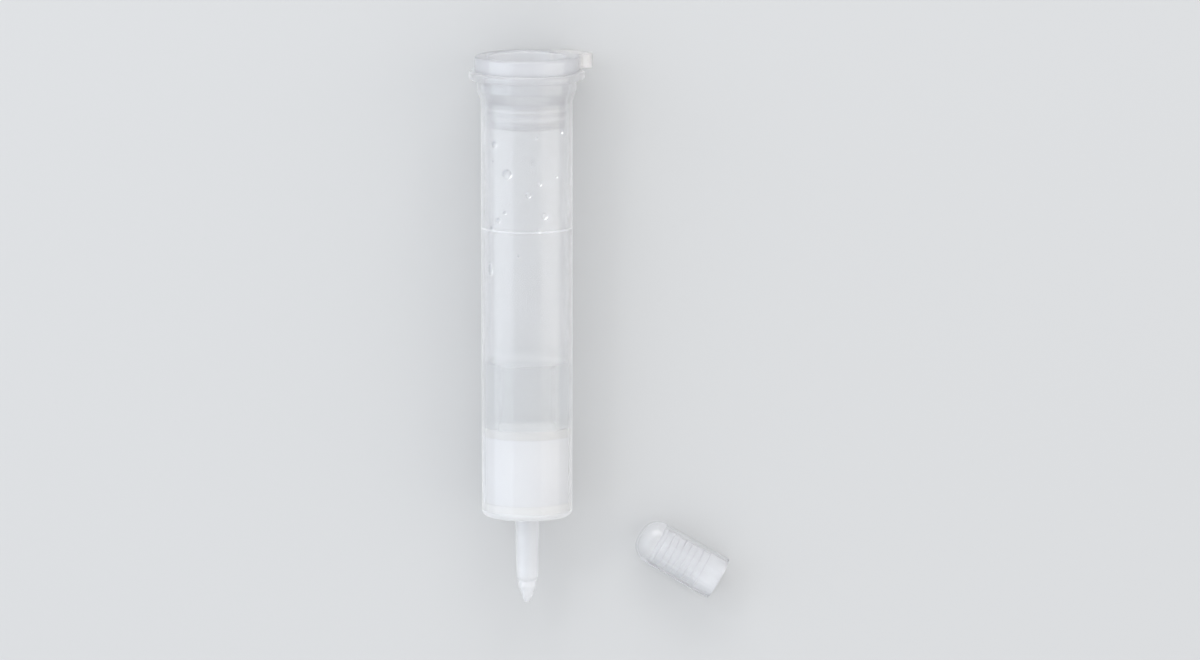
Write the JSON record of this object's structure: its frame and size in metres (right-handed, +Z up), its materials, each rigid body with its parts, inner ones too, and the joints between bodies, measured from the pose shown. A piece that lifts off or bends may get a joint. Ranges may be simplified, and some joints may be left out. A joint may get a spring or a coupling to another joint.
{
  "type": "gravity flow chromatography column",
  "caption": "Gravity flow chromatography column: flanged barrel with snap-off outlet, frits round a packed bed, storage solution, lift-off lid, and its loose outlet cap.",
  "frame": {"origin": "on the surface that the part lies on, under the middle of its box", "axes": "+Y along the lying column from its outlet to its lid, +X across it towards the loose outlet cap, +Z up; the column's own axis rises 1.616 degrees towards the lid, in the YZ plane"},
  "size_m": [0.0472, 0.0998, 0.0208],
  "materials": {
    "barrel_plastic": "translucent natural polypropylene, satin",
    "lid_plastic": "translucent natural polyethylene, satin",
    "frit_plastic": "sintered porous polyethylene",
    "resin": "wet settled agarose beads",
    "solution": "clear liquid",
    "cap_plastic": "translucent natural polyethylene, satin"
  },
  "bodies": {
    "column": {"barrel": "barrel_plastic", "lower_frit": "frit_plastic", "resin_bed": "resin", "upper_frit": "frit_plastic", "storage_solution": "solution", "bottom_cap": "cap_plastic"},
    "lid": {"top_cap": "lid_plastic"}
  },
  "joints": [
    {"name": "top_cap_pull", "type": "slide", "parent": "column", "child": "lid", "axis": [0, 0.9996, 0.0282], "range_m": [0, 0.025]}
  ]
}
